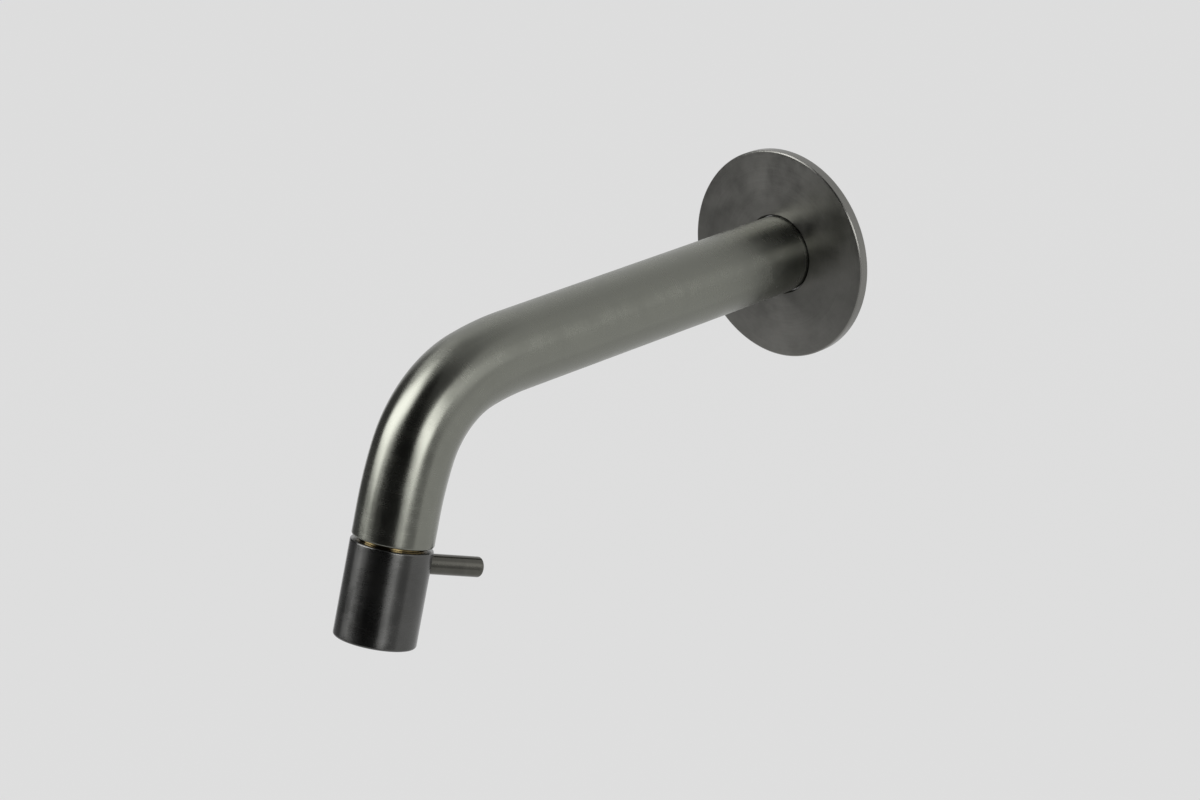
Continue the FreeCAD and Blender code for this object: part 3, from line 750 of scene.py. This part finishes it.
def finish_named(name):
    """A finish, made the first time it is asked for."""
    full_name = "finish_" + name
    if full_name in bpy.data.materials:
        return bpy.data.materials[full_name]
    colours = tap().finish
    knob = tap().knob
    rim = ("radius", tap().wall.rosette_diameter / 2, -0.5, -0.2)
    knob_edges = (("height", knob.gap, 0.6, 0.2), ("height", knob.overall_end, -0.8, -0.3))
    tip = ("height", knob.lever_reach, -0.9, -0.3)
    maker, *values = {
        "tube_gunmetal": (brushed, colours.tube, 0.26, 0.85, 0.0018, 7.0, 0.11),
        "rosette_gunmetal": (brushed, colours.rosette, 0.36, 0.30, 0.003, 12.0, 0.28, (rim,)),
        "knob_gunmetal": (brushed, colours.end_piece, 0.27, 0.90, 0.006, 3.0, 0.20, knob_edges),
        "lever_gunmetal": (brushed, colours.lever, 0.19, 0.80, 0.007, 2.0, 0.30, (tip,)),
        "aerator_gunmetal": (brushed, colours.aerator, 0.34, 0.3, 0.004, 4.0),
        "nipple_brass": (brushed, colours.brass, 0.22, 0.6, 0.003, 6.0),
        # The neck that shows in the gap gets brass darkened to half: painted shade of the narrow gap between the tube
        # and the end piece
        "neck_brass": (brushed, tone(colours.brass, 0.5), 0.12, 0.6, 0.002, 6.0, 0.18, (), outlet_frame()),
        "brass": (bare_metal, colours.brass, 0.24, 1 / 5.2, 0.004, (0.88, 1.06)),
        "stainless": (bare_metal, colours.steel, 0.22, 1 / 5.2, 0.004, (0.95, 1.025)),
        "ceramic": (moulded, colours.ceramic, 0.22, 0.08, 0.001),
        "black_rubber": (moulded, colours.rubber, 0.55, 0.12, 0.004),
        "gasket_foam": (moulded, colours.foam, 0.90, 0.35, 0.06),
        "white_plastic": (moulded, colours.white_plastic, 0.38, 0.10, 0.002),
        "grey_plastic": (moulded, colours.grey_plastic, 0.42, 0.10, 0.003),
    }[name]
    return maker(full_name, *values)


class TAP_OT_spout_tube(Operator):
    """Bends the tube along its centre line, with its rounded end and the lock screw's hole"""

    bl_idname = "tap.spout_tube"
    bl_label = "Spout tube"

    def execute(self, context):
        sizes = tap().spout
        collar = tap().wall.collar
        points = centre_line(sizes, 0.25 * MM)
        line = bpy.data.curves.new("centre_line", "CURVE")
        line.dimensions = "3D"
        spline = line.splines.new("POLY")
        spline.points.add(len(points) - 1)
        for spot, point in zip(spline.points, points):
            spot.co = (*point, 1.0)
        route = new_object("centre_line", line)
        total = sum((b - a).length for a, b in zip(points, points[1:]))
        radius = sizes.tube_diameter / 2
        bore = radius - sizes.tube_wall
        edge = 0.15 * MM
        end = (radius, total, min(sizes.end_round, sizes.tube_wall / 2))
        corners = ((bore, collar, edge), (radius, collar, edge), end, (bore, total, edge))
        tube = turned("spout_tube", corners, 144, 0.75 * MM)
        hole = prism("lock_hole", 64, sizes.lock_diameter / 2, 0.5 * radius, 1.5 * radius)
        hole.data.transform(lock_frame())
        cut(tube, hole)
        spout_tree().run(tube, {"Centre Line": route, "Material": finish_named("tube_gunmetal")})
        bpy.data.batch_remove((route, line))
        finish_piece(tube, Matrix(), "spout", "tube_gunmetal")
        return {"FINISHED"}


class TAP_OT_wall_fixing(Operator):
    """Makes the nipple with its pipe thread, collar, grooves and key socket"""

    bl_idname = "tap.wall_fixing"
    bl_label = "Wall fixing"

    def execute(self, context):
        wall = tap().wall
        spout = tap().spout
        crest = wall.thread_diameter / 2
        spigot = spout.tube_diameter / 2 - spout.tube_wall - wall.sleeve_wall - 2 * FIT
        collar = spout.tube_diameter / 2 - 0.2 * MM
        lock_half = 1.75 * MM
        ring_floor = spigot - wall.ring_section - FIT
        ring_width = wall.ring_section + 0.4 * MM
        land = 1.2 * MM
        first = spout.lock_position + lock_half + land
        second = first + ring_width + land
        tip = second + ring_width + 3.4 * MM
        taper = 0.8 * MM
        edge = 0.08 * MM
        bore = wall.bore / 2
        start = -wall.thread_length
        corners = [
            (bore, start, edge), (crest - wall.thread_chamfer, start, edge), (crest, start + wall.thread_chamfer),
            (crest, 0.0), (collar, 0.0, edge), (collar, wall.collar, edge), (spigot, wall.collar),
        ]
        for floor, low, high in (
            (spigot - LOCK_POINT, spout.lock_position - lock_half, spout.lock_position + lock_half),
            (ring_floor, first, first + ring_width),
            (ring_floor, second, second + ring_width),
        ):
            corners += [(spigot, low, edge), (floor, low, edge), (floor, high, edge), (spigot, high, edge)]
        corners += [(spigot, tip - taper, edge), (spigot - taper, tip, edge), (bore, tip, edge)]
        nipple = turned("wall_nipple", corners, 128, wall.thread_pitch / 14)
        thread_tree().run(nipple, {
            "Pitch": wall.thread_pitch, "Depth": wall.thread_depth, "Crest Radius": crest,
            "Run Out": -1.5 * MM, "End": -0.3 * MM, "Material": finish_named("brass"),
        })
        cut(nipple, prism("key_socket", 6, wall.key_flats / ROOT_3, tip - wall.key_depth, tip + wall.key_depth))
        finish_piece(nipple, wall_frame(), "spout", "brass", "nipple_brass")
        return {"FINISHED"}


class TAP_OT_lock_screw(Operator):
    """Makes the headless lock screw with its hexagon socket"""

    bl_idname = "tap.lock_screw"
    bl_label = "Lock screw"

    def execute(self, context):
        spout = tap().spout
        radius = spout.lock_diameter / 2 - FIT
        head = spout.tube_diameter / 2 - 0.4 * MM
        bore = spout.tube_diameter / 2 - spout.tube_wall - tap().wall.sleeve_wall - FIT
        point = 1.7 * MM
        corners = (
            (0.0, bore - LOCK_POINT), (point, bore - LOCK_POINT, 0.3 * MM), (point, bore + FIT),
            (radius, bore + FIT, 0.2 * MM), (radius, head, 0.3 * MM), (0.0, head),
        )
        screw = turned("lock_screw", corners, 72)
        depth = 1.6 * MM
        cut(screw, prism("lock_socket", 6, 2.5 * MM / ROOT_3, head - depth, head + depth))
        finish_piece(screw, wall_frame() @ lock_frame(), "spout", "stainless")
        return {"FINISHED"}


class TAP_OT_rosette(Operator):
    """Makes the round cover plate with its bevels, its ring groove and the groove in its back"""

    bl_idname = "tap.rosette"
    bl_label = "Rosette"

    def execute(self, context):
        wall = tap().wall
        tube = tap().spout.tube_diameter / 2
        front = wall.rosette_thickness
        radius = wall.rosette_diameter / 2
        bore = tube + wall.rosette_gap
        groove = tube + wall.ring_section + 2 * FIT
        half = wall.ring_section / 2 + FIT
        gasket_outer = radius - wall.gasket_rim
        gasket_inner = gasket_outer - wall.gasket_width
        gasket_floor = wall.gasket_thickness + FIT
        edge = 0.12 * MM
        corners = (
            (bore, 0.0, edge), (gasket_inner, 0.0), (gasket_inner, gasket_floor), (gasket_outer, gasket_floor),
            (gasket_outer, 0.0), (radius, 0.0, edge), (radius, front - wall.rosette_bevel, edge),
            (radius - wall.rosette_bevel, front, edge), (bore + wall.bore_bevel, front, edge / 2),
            (bore, front - wall.bore_bevel, edge / 2), (bore, front / 2 + half), (groove, front / 2 + half),
            (groove, front / 2 - half), (bore, front / 2 - half),
        )
        plate = turned("wall_rosette", corners, 256)
        finish_piece(plate, wall_frame(), "rosette", "rosette_gunmetal")
        return {"FINISHED"}


class TAP_OT_rosette_seals(Operator):
    """Makes the sealing ring in the rosette's bore and the foam gasket in its back"""

    bl_idname = "tap.rosette_seals"
    bl_label = "Rosette seals"

    def execute(self, context):
        wall = tap().wall
        section = wall.ring_section
        inner = tap().spout.tube_diameter / 2 + FIT
        low = wall.rosette_thickness / 2 - section / 2
        high = wall.rosette_thickness / 2 + section / 2
        corners = ((inner, low), (inner + section, low), (inner + section, high), (inner, high))
        ring = turned("rosette_ring", [(*corner, section * 0.45) for corner in corners])
        finish_piece(ring, wall_frame(), "rosette", "black_rubber")
        outer = wall.rosette_diameter / 2 - wall.gasket_rim - FIT
        inner = outer - wall.gasket_width + 2 * FIT
        high = wall.gasket_thickness
        soft = 0.2 * MM
        gasket = turned("rosette_gasket", ((inner, 0.0, soft), (outer, 0.0, soft), (outer, high), (inner, high)))
        finish_piece(gasket, wall_frame(), "rosette", "gasket_foam")
        return {"FINISHED"}


class TAP_OT_end_piece(Operator):
    """Makes the turning end piece with its rounded edges and the seat for the lever"""

    bl_idname = "tap.end_piece"
    bl_label = "End piece"

    def execute(self, context):
        sizes = tap().knob
        radius = tap().spout.tube_diameter / 2 + sizes.step
        bore = radius - sizes.wall
        aerator_bore = radius - sizes.aerator_wall
        nut_room = aerator_bore - 1.2 * MM
        web_end = sizes.web_top + sizes.web
        edge = 0.1 * MM
        corners = (
            (bore, sizes.gap, edge), (radius, sizes.gap, sizes.top_round),
            (radius, sizes.overall_end, sizes.end_round), (aerator_bore, sizes.overall_end, edge),
            (aerator_bore, sizes.aerator_ledge), (nut_room, sizes.aerator_ledge), (nut_room, web_end),
            (0.0, web_end), (0.0, sizes.web_top), (bore, sizes.web_top),
        )
        knob = turned("knob_sleeve", corners, AROUND, 1.0 * MM)
        seat = prism("lever_seat", 96, sizes.lever_diameter / 2 + FIT, radius - LEVER_SEAT, radius + 2 * MM)
        hole = prism("lever_hole", 48, LEVER_STUD, bore - 1 * MM, radius)
        to_knob = outlet_frame().inverted() @ lever_frame()
        for tool in (seat, hole):
            tool.data.transform(to_knob)
        ends = (sizes.web_top - 1 * MM, web_end + 1 * MM)
        drive = prism("drive_hole", 96, sizes.drive_diameter / 2, *ends, sizes.drive_flats / 2)
        cut(knob, seat, hole, drive)
        finish_piece(knob, outlet_frame(), "knob", "knob_gunmetal")
        return {"FINISHED"}


class TAP_OT_lever(Operator):
    """Makes the round lever with its rounded tip and its stud"""

    bl_idname = "tap.lever"
    bl_label = "Lever"

    def execute(self, context):
        sizes = tap().knob
        knob_radius = tap().spout.tube_diameter / 2 + sizes.step
        seat = knob_radius - LEVER_SEAT
        radius = sizes.lever_diameter / 2
        stud = LEVER_STUD - FIT
        foot = knob_radius - sizes.wall + FIT
        corners = (
            (0.0, foot), (stud, foot, 0.2 * MM), (stud, seat), (radius, seat, 0.1 * MM),
            (radius, sizes.lever_reach, sizes.lever_end_round), (0.0, sizes.lever_reach),
        )
        lever = turned("lever_pin", corners, 128, 0.8 * MM)
        finish_piece(lever, lever_frame(), "knob", "lever_gunmetal")
        return {"FINISHED"}


class TAP_OT_aerator(Operator):
    """Makes the aerator's slotted ring and its screen of six-sided cells"""

    bl_idname = "tap.aerator"
    bl_label = "Aerator"

    def execute(self, context):
        sizes = tap().aerator
        knob = tap().knob
        radius = tap().spout.tube_diameter / 2 + knob.step - knob.aerator_wall - FIT
        inside = radius - sizes.shell
        lip = inside - sizes.lip
        end = knob.overall_end - sizes.recess
        top = end - sizes.height
        edge = 0.1 * MM
        corners = (
            (inside, top, edge), (radius, top, edge), (radius, end, 2 * edge),
            (lip, end, 2 * edge), (lip, end - sizes.lip, edge), (inside, end - sizes.lip),
        )
        ring = turned("aerator_housing", corners, 160)
        size = (radius + 1 * MM - lip / 2, sizes.slot_width, sizes.slot_depth + 1 * MM, 1)
        middle = (radius + 1 * MM - size[0] / 2, 0, end + 1 * MM - size[2] / 2)
        slots = []
        for way in range(4):
            shape = bmesh.new()
            bmesh.ops.create_cube(shape, size=1, matrix=Matrix.Translation(middle) @ Matrix.Diagonal(size))
            shape.transform(Matrix.Rotation(way * QUARTER, 4, "Z"))
            slots.append(shape_object(f"key_slot_{way}", shape))
        cut(ring, *slots)
        finish_piece(ring, outlet_frame(), "knob", "aerator_gunmetal")
        open_radius = lip - sizes.cell_pitch / 2
        screen = new_object("outlet_screen_piece", bpy.data.meshes.new("outlet_screen_piece"))
        screen_tree(int(open_radius / sizes.cell_pitch) + 2).run(screen, {
            "Plate Radius": inside - FIT, "Open Radius": open_radius, "Pitch": sizes.cell_pitch,
            "Flats": sizes.cell_flats, "Thickness": sizes.screen_thickness, "Material": finish_named("grey_plastic"),
        })
        middle = end - sizes.lip - FIT - sizes.screen_thickness / 2
        screen.data.transform(Matrix.Translation((0, 0, middle)))
        finish_piece(screen, outlet_frame(), "knob", "grey_plastic")
        return {"FINISHED"}


class TAP_OT_inner_finishes(Operator):
    """Gives every inner piece that is carried over from the frame its own finish. The neck that shows in the gap gets
    brass darkened to half, as painted shade of the gap
    """

    bl_idname = "tap.inner_finishes"
    bl_label = "Inner finishes"

    def execute(self, context):
        slot_of = {part["node"]: part["material_slot"] for part in frame["record"]["subparts"]}
        for name, node in frame["nodes"].items():
            if node.hide_render:
                continue
            node.data.materials.clear()
            # The valve housing and outlet insert show as the neck in the gap, so they take the brass with painted
            # shade
            neck = name in ("valve_housing", "outlet_insert")
            node.data.materials.append(finish_named("neck_brass" if neck else slot_of[name]))
        return {"FINISHED"}


def shown(tree):
    """Is 1 for rays that show a surface: straight, in a reflection or through glass."""
    path = tree.add("LightPath")
    seen = tree.math("MAXIMUM", path["Is Camera Ray"], path["Is Glossy Ray"])
    return tree.math("MAXIMUM", seen, path["Is Transmission Ray"])


def glow(tree, kind, strength):
    """Shader of a kind that glows white at that strength."""
    return tree.add(kind, {"Color": (1, 1, 1, 1), "Strength": strength})[0]


def direction(azimuth, elevation):
    """Direction from the tap, in degrees: azimuth 0 is straight in front of the wall and 90 to its right."""
    a, e = radians(azimuth), radians(elevation)
    return Vector((sin(a) * cos(e), -cos(a) * cos(e), sin(e)))


def facing(place, target):
    """Matrix at a place whose -Z looks at a target, with its X level."""
    back = (place - target).normalized()
    right = Z_AXIS.cross(back).normalized()
    return axes_at(place, right, back.cross(right), back)


def panel_material(name, level, softness):
    """Glowing or grey panel whose edges fade out, so that its reflection has no hard border."""
    material = bpy.data.materials.new(name)
    material.use_nodes = True
    tree = Nodes(material.node_tree)
    tree.tree.nodes.remove(tree.tree.nodes["Principled BSDF"])
    place = tree.separate(tree.attribute("across"))
    inside = []
    for value, soft in zip(place, softness):
        from_middle = tree.math("ABSOLUTE", tree.math("SUBTRACT", value, 0.5))
        inside.append(tree.map_range(from_middle, 0.5 - soft, 0.5, 1.0, 0.0, interpolation_type="SMOOTHSTEP"))
    tree.end_mixed(tree.times(*inside), tree.add("BsdfTransparent")[0], glow(tree, "Emission", level))
    return material


def panel(name, spot, level, *softness):
    """Stage panel that only shows in reflections. Its spots are given for two numbers from 0 to 1."""
    shape = bmesh.new()
    bmesh.ops.create_grid(shape, x_segments=PANEL_STEPS, y_segments=PANEL_STEPS, size=0.5)
    across = shape.verts.layers.float_vector.new("across")
    for vert in shape.verts:
        u, v = vert.co.x + 0.5, vert.co.y + 0.5
        vert[across] = (u, v, 0)
        vert.co = spot(u, v)
    piece = shape_object(name, shape)
    piece.data.materials.append(panel_material(name, level, softness))
    piece.visible_camera = piece.visible_diffuse = piece.visible_shadow = False
    piece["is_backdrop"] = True


# Name, the azimuths and elevations that it fills, distance, brightness, and softness at its sides and ends.
PANELS = (
    ("front_panel", (-26, 52), (-34, 88), 1.7, 0.02, 0.1, 0.05),
    ("left_panel", (-116, -56), (-26, 38), 1.6, 0.1, 0.15, 0.2),
    ("low_panel", (-62, 0), (-22, 8), 1.65, 0.1, 0.1, 0.15),
    ("side_panel", (60, 104), (-28, 16), 1.65, 0.3, 0.2, 0.3),
    ("right_panel", (30, 112), (42, 88), 1.55, 0.14, 0.2, 0.2),
    ("top_panel", (0, 180), (50, 130), 1.8, 0.38, 0.01, 0.15),
    ("right_card", (91, 135), (6, 44), 1.75, 1.2, 0.4, 0.3),
    ("back_card", (96, 168), (-40, 14), 1.75, 0.82, 0.2, 0.3),
)


def grey_panel(name, azimuths, elevations, distance, level, *softness):
    """Curved grey panel round the tap."""
    def spot(u, v):
        return MIDDLE + direction(np.interp(u, (0, 1), azimuths), np.interp(v, (0, 1), elevations)) * distance

    panel(name, spot, level, *softness)


def soft_box(name, azimuth, elevation, width, height, lean, level, power):
    """Soft box that faces the tap: its glowing front shows in reflections, and a lamp lights what is matt."""
    place = facing(MIDDLE + direction(azimuth, elevation) * BOX_DISTANCE, MIDDLE)
    place = place @ Matrix.Rotation(radians(lean), 4, "Z")
    across, up = (2 * BOX_DISTANCE * tan(radians(angle) / 2) for angle in (width, height))

    def spot(u, v):
        return place @ Vector(((u - 0.5) * across, (v - 0.5) * up, 0))

    panel(name, spot, level, BOX_SOFTNESS, BOX_SOFTNESS)
    data = bpy.data.lights.new(name + "_lamp", "AREA")
    data.shape = "RECTANGLE"
    data.size, data.size_y = across, up
    data.energy = power
    lamp = new_object(name + "_lamp", data)
    lamp.matrix_world = place
    lamp.visible_camera = lamp.visible_glossy = False


class TAP_OT_stage(Operator):
    """Sets up the pale floor, the soft boxes, the grey panels, the world and the camera"""

    bl_idname = "tap.stage"
    bl_label = "Stage"

    def execute(self, context):
        studio = tap().studio
        self.make_world(studio)
        self.make_floor(studio)
        soft_box("soft_box_right", 67.5, 23.0, 31.0, 40.0, 30.0, studio.right_box, studio.right_lamp)
        soft_box("soft_box_left", -50.5, 36.0, 42.0, 66.0, -8.0, studio.left_box, studio.left_lamp)
        for values in PANELS:
            grey_panel(*values)
        self.make_camera(studio)
        return {"FINISHED"}

    def make_world(self, studio):
        world = bpy.data.worlds.new("studio")
        world.use_nodes = True
        bpy.context.scene.world = world
        bpy.context.scene.view_settings.view_transform = "Standard"
        tree = Nodes(world.node_tree)
        tree.tree.nodes.remove(tree.tree.nodes["Background"])
        fill, pale = (glow(tree, "Background", level) for level in (studio.fill, studio.background))
        tree.end_mixed(shown(tree), fill, pale, "World Output")

    def make_floor(self, studio):
        """Part of what the floor shows is even and part is lit, so it keeps a shadow."""
        shape = bmesh.new()
        place = Matrix.Translation((0, 0, studio.floor_height))
        bmesh.ops.create_grid(shape, x_segments=1, y_segments=1, size=40.0, matrix=place)
        floor = shape_object("floor", shape)
        tree = Finish("pale_floor", 0.9)
        tree.set(base_color=(*[studio.floor_colour] * 3, 1))
        lit = tree.tree.nodes["Principled BSDF"].outputs[0]
        even = glow(tree, "Emission", studio.floor_tone)
        tree.end_mixed(tree.times(shown(tree), studio.floor_evenness), lit, even)
        floor.data.materials.append(tree.material)
        floor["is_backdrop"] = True

    def make_camera(self, studio):
        data = bpy.data.cameras.new("camera")
        data.sensor_fit = "HORIZONTAL"
        data.sensor_width = 36.0
        data.lens = studio.lens
        data.clip_start = 0.01
        data.clip_end = 100.0
        camera = new_object("camera", data)
        target = Vector((0, studio.look_y, studio.look_z))
        back = direction(degrees(studio.azimuth), degrees(studio.elevation))
        camera.matrix_world = facing(target + back * studio.distance, target) @ Matrix.Rotation(studio.roll, 4, "Z")
        bpy.context.scene.camera = camera


STEPS = (
    TAP_OT_spout_tube, TAP_OT_wall_fixing, TAP_OT_lock_screw, TAP_OT_rosette, TAP_OT_rosette_seals,
    TAP_OT_end_piece, TAP_OT_lever, TAP_OT_aerator, TAP_OT_inner_finishes, TAP_OT_stage,
)


class TAP_PT_sidebar(bpy.types.Panel):
    """Lists the steps that dress the tap"""

    bl_idname = "TAP_PT_sidebar"
    bl_label = "Wall spout tap"
    bl_space_type = "VIEW_3D"
    bl_region_type = "UI"
    bl_category = "Tap"

    def draw(self, context):
        for step in STEPS:
            self.layout.operator(step.bl_idname)


GROUPS = (TapSpoutSizes, TapWallSizes, TapEndPieceSizes, TapAeratorSizes, TapFinishes, TapStudio, TapSettings)
CLASSES = (*GROUPS, *STEPS, TAP_PT_sidebar)


def register():
    for cls in CLASSES:
        bpy.utils.register_class(cls)
    bpy.types.Scene.tap = bpy.props.PointerProperty(type=TapSettings)


def unregister():
    del bpy.types.Scene.tap
    for cls in reversed(CLASSES):
        bpy.utils.unregister_class(cls)


def main():
    register()
    for step in STEPS:
        category, name = step.bl_idname.split(".")
        getattr(getattr(bpy.ops, category), name)()
    boxes = {"cad": CAD_BOX, "visual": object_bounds()}
    plain = {name: [[float(value) for value in corner] for corner in box] for name, box in boxes.items()}


if __name__ == "__main__":
    main()
